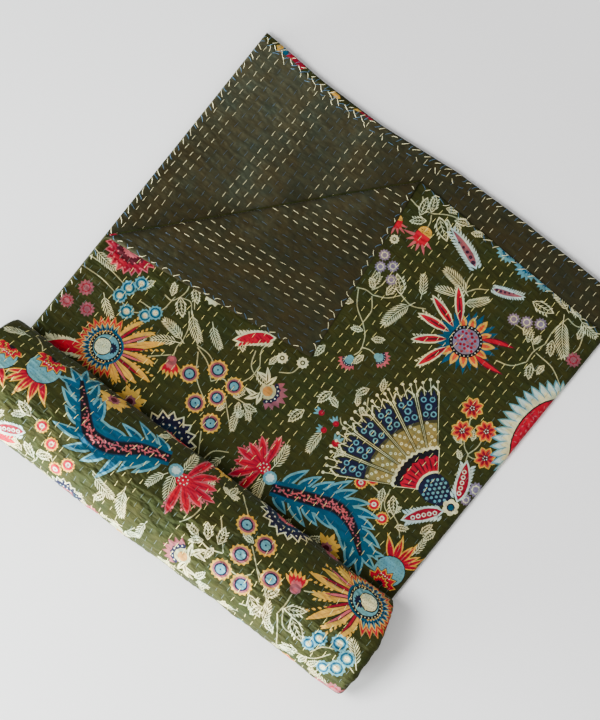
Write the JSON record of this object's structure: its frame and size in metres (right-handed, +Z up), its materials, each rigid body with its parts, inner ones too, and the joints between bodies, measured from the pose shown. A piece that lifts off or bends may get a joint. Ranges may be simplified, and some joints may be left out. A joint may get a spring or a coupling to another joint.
{
  "type": "kantha quilt",
  "caption": "Folded hand-stitched cotton quilt, lying flat with one end rolled up and one top corner turned back.",
  "frame": {"origin": "middle of the outline on the surface the quilt lies on, so the underside is at Z = 0", "axes": "+X along the roll, from the end by the open left hems to the end by the folded right edge; +Y from the roll to the loose top hems; +Z up"},
  "size_m": [0.6316, 0.6356, 0.0916],
  "materials": {
    "quilt_cotton": "matt printed cotton, puckered by running stitches"
  },
  "bodies": {
    "root": {"kantha_quilt": "quilt_cotton"}
  },
  "joints": []
}
